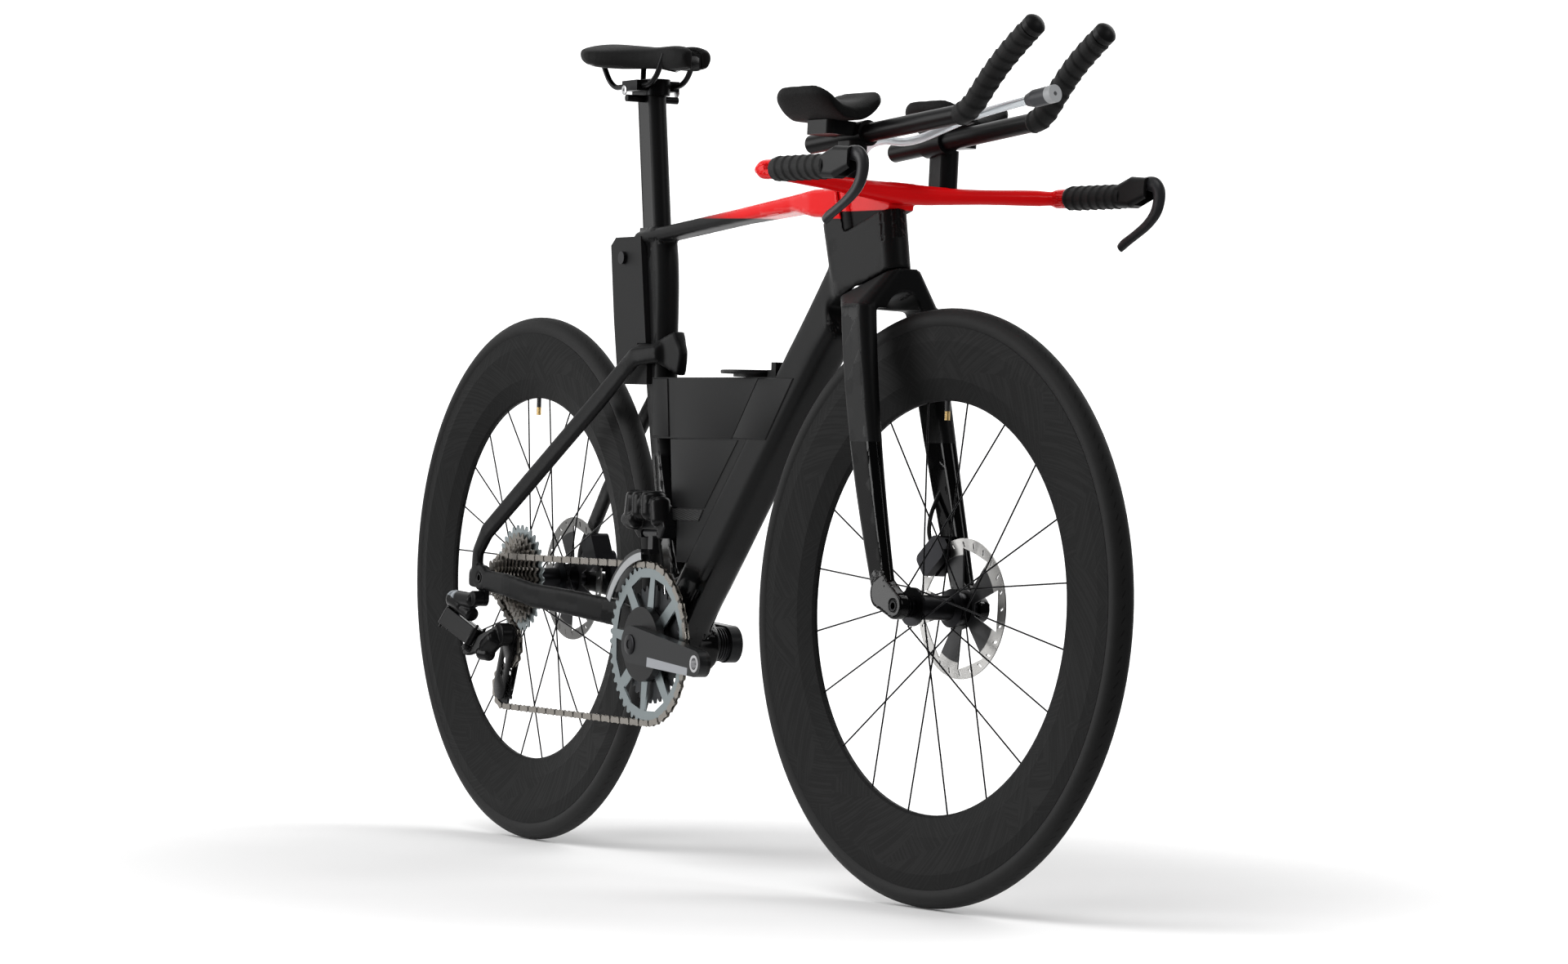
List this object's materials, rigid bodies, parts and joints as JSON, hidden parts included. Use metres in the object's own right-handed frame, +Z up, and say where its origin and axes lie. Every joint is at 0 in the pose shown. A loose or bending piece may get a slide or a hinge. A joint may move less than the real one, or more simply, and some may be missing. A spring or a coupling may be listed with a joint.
{
  "type": "time trial bike",
  "caption": "Time trial bike with aero frame, storage boxes, split-nose saddle, wing base bar with arm pads and aero extensions, disc brakes, deep rims and a linked drivetrain.",
  "frame": {"origin": "middle of the rear axle, on the bike's centre plane", "axes": "+X ahead along the wheelbase, +Y to the rider's left along the rear axle, +Z up; wheels touch the ground at z = -0.339 m"},
  "size_m": [1.676, 0.4573, 1.021],
  "materials": {
    "satin_carbon": "satin charcoal over carbon",
    "black_anodised": "black anodised",
    "silver": "satin silver",
    "red_lacquer": "gloss red lacquer over carbon",
    "ring_grey": "anodised grey-blue",
    "crank_grey": "dark grey gloss",
    "steel": "bright steel",
    "black_plastic": "moulded black",
    "tyre_black": "slick tread",
    "brass": "bare brass",
    "black_rubber": "soft matte",
    "clear_hose": "clear flexible tube"
  },
  "bodies": {
    "frame": {"front_triangle": "satin_carbon", "rear_triangle": "satin_carbon", "derailleur_hanger": "black_anodised", "rear_axle": "black_anodised", "rear_storage_box": "satin_carbon", "frame_storage_box": "satin_carbon", "frame_bearings": "silver", "front_derailleur_body": "black_anodised", "derailleur_b_knuckle": "black_anodised", "rear_caliper": "black_anodised", "chain": "steel"},
    "storage_latch": {"rear_box_latch": "silver"},
    "fill_cap": {"fill_lid": "satin_carbon"},
    "seat_mast": {"seatpost": "satin_carbon", "saddle_clamp": "black_anodised"},
    "saddle": {"saddle_rails": "black_anodised", "saddle_shell": "black_plastic", "saddle_cover": "black_rubber"},
    "front_shift_cage": {"front_derailleur_cage": "silver"},
    "outer_link": {"derailleur_outer_link": "silver"},
    "inner_link": {"derailleur_inner_link": "black_anodised"},
    "lower_knuckle": {"derailleur_p_knuckle": "black_anodised"},
    "tension_cage": {"derailleur_cage": "black_plastic"},
    "upper_pulley": {"upper_jockey_wheel": "black_plastic"},
    "lower_pulley": {"lower_jockey_wheel": "black_plastic"},
    "crankset": {"right_crank": "crank_grey", "left_crank": "crank_grey", "large_chainring": "ring_grey", "small_chainring": "ring_grey"},
    "sprockets": {"cassette": "steel"},
    "rear_wheel": {"rear_tyre": "tyre_black", "rear_rim": "satin_carbon", "rear_spokes": "black_anodised", "rear_hub": "black_anodised", "rear_rotor": "steel", "rear_valve": "brass"},
    "front_wheel": {"front_tyre": "tyre_black", "front_rim": "satin_carbon", "front_spokes": "black_anodised", "front_hub": "black_anodised", "front_rotor": "steel", "front_valve": "brass"},
    "steering": {"fork": "satin_carbon", "front_axle": "black_anodised", "front_caliper": "black_anodised", "front_brake_hose": "black_rubber", "base_bar": "red_lacquer", "grip_tape": "black_rubber", "lever_bodies": "black_plastic", "riser_towers": "satin_carbon", "aero_extensions": "satin_carbon", "arm_rest_brackets": "satin_carbon", "arm_pads": "black_rubber", "drinking_hose": "clear_hose", "hose_clip": "black_plastic", "bite_valve": "black_rubber"},
    "right_lever": {"brake_lever_right": "black_plastic"},
    "left_lever": {"brake_lever_left": "black_plastic"},
    "right_button": {"shift_button_right": "black_plastic"},
    "left_button": {"shift_button_left": "black_plastic"}
  },
  "joints": [
    {"name": "steering", "type": "hinge", "parent": "frame", "child": "steering", "pos_m": [0.82778, 0, 0.39657], "axis": [-0.3007, 0, 0.9537], "range_deg": [-40, 27]},
    {"name": "front_wheel_spin", "type": "hinge", "parent": "steering", "child": "front_wheel", "pos_m": [0.99974, 0.00491, -0.00008], "axis": [-0.104, 0.994, -0.0328], "continuous": true},
    {"name": "rear_wheel_spin", "type": "hinge", "parent": "frame", "child": "rear_wheel", "pos_m": [0, 0, 0], "axis": [0, 1, 0], "continuous": true},
    {"name": "crank_spin", "type": "hinge", "parent": "frame", "child": "crankset", "pos_m": [0.405, 0, -0.068], "axis": [0, 1, 0], "continuous": true},
    {"name": "sprocket_spin", "type": "hinge", "parent": "frame", "child": "sprockets", "pos_m": [0, 0, 0], "axis": [0, 1, 0], "continuous": true},
    {"name": "outer_link_swing", "type": "hinge", "parent": "frame", "child": "outer_link", "pos_m": [-0.066, -0.096, -0.052], "axis": [0.2869, 0.3732, 0.8823], "range_deg": [-11, 19], "deforming": ["chain"]},
    {"name": "inner_link_swing", "type": "hinge", "parent": "frame", "child": "inner_link", "pos_m": [-0.06863, -0.08399, -0.05623], "axis": [0.2869, 0.3732, 0.8823], "range_deg": [-11, 19]},
    {"name": "lower_knuckle_swing", "type": "hinge", "parent": "outer_link", "child": "lower_knuckle", "pos_m": [0, -0.09, -0.076], "axis": [0.2869, 0.3732, 0.8823], "range_deg": [-19, 11]},
    {"name": "cage_swing", "type": "hinge", "parent": "lower_knuckle", "child": "tension_cage", "pos_m": [0.036, -0.06, -0.072], "axis": [0, 1, 0], "range_deg": [-12, 18], "stiffness_Nm_per_rad": 0.8, "deforming": ["chain"]},
    {"name": "upper_pulley_spin", "type": "hinge", "parent": "tension_cage", "child": "upper_pulley", "pos_m": [0.03, -0.0475, -0.086], "axis": [0, 1, 0], "continuous": true},
    {"name": "lower_pulley_spin", "type": "hinge", "parent": "tension_cage", "child": "lower_pulley", "pos_m": [0.01, -0.0475, -0.141], "axis": [0, 1, 0], "continuous": true},
    {"name": "front_cage_swing", "type": "hinge", "parent": "frame", "child": "front_shift_cage", "pos_m": [0.383, -0.032, 0.068], "axis": [1, 0, 0], "range_deg": [0, 8], "deforming": ["chain"]},
    {"name": "seat_mast_slide", "type": "slide", "parent": "frame", "child": "seat_mast", "axis": [-0.1305, 0, 0.9914], "range_m": [-0.03, 0.04]},
    {"name": "saddle_slide", "type": "slide", "parent": "seat_mast", "child": "saddle", "axis": [1, 0, 0], "range_m": [-0.012, 0.012]},
    {"name": "fill_cap_hinge", "type": "hinge", "parent": "frame", "child": "fill_cap", "pos_m": [0.631, 0, 0.265], "axis": [0, 1, 0], "range_deg": [0, 85]},
    {"name": "storage_latch_turn", "type": "hinge", "parent": "frame", "child": "storage_latch", "pos_m": [0.265, -0.0196, 0.41], "axis": [0, -1, 0], "range_deg": [0, 90]},
    {"name": "right_brake_lever", "type": "hinge", "parent": "steering", "child": "right_lever", "pos_m": [1.09733, -0.17977, 0.49641], "axis": [-0.104, 0.994, -0.0328], "range_deg": [0, 22], "stiffness_Nm_per_rad": 0.5},
    {"name": "right_shift_button", "type": "slide", "parent": "steering", "child": "right_button", "axis": [-0.8336, -0.1051, -0.5423], "range_m": [0, 0.0015], "stiffness_N_per_m": 800},
    {"name": "left_brake_lever", "type": "hinge", "parent": "steering", "child": "left_lever", "pos_m": [1.05365, 0.23773, 0.48264], "axis": [-0.104, 0.994, -0.0328], "range_deg": [0, 22], "stiffness_Nm_per_rad": 0.5},
    {"name": "left_shift_button", "type": "slide", "parent": "steering", "child": "left_button", "axis": [-0.8336, -0.1051, -0.5423], "range_m": [0, 0.0015], "stiffness_N_per_m": 800}
  ],
  "couplings": [
    {"joint": "sprocket_spin", "follows": "crank_spin", "ratio": 3.4286},
    {"joint": "upper_pulley_spin", "follows": "crank_spin", "ratio": -4},
    {"joint": "lower_pulley_spin", "follows": "crank_spin", "ratio": 4},
    {"joint": "inner_link_swing", "follows": "outer_link_swing", "ratio": 1},
    {"joint": "lower_knuckle_swing", "follows": "outer_link_swing", "ratio": -1}
  ]
}
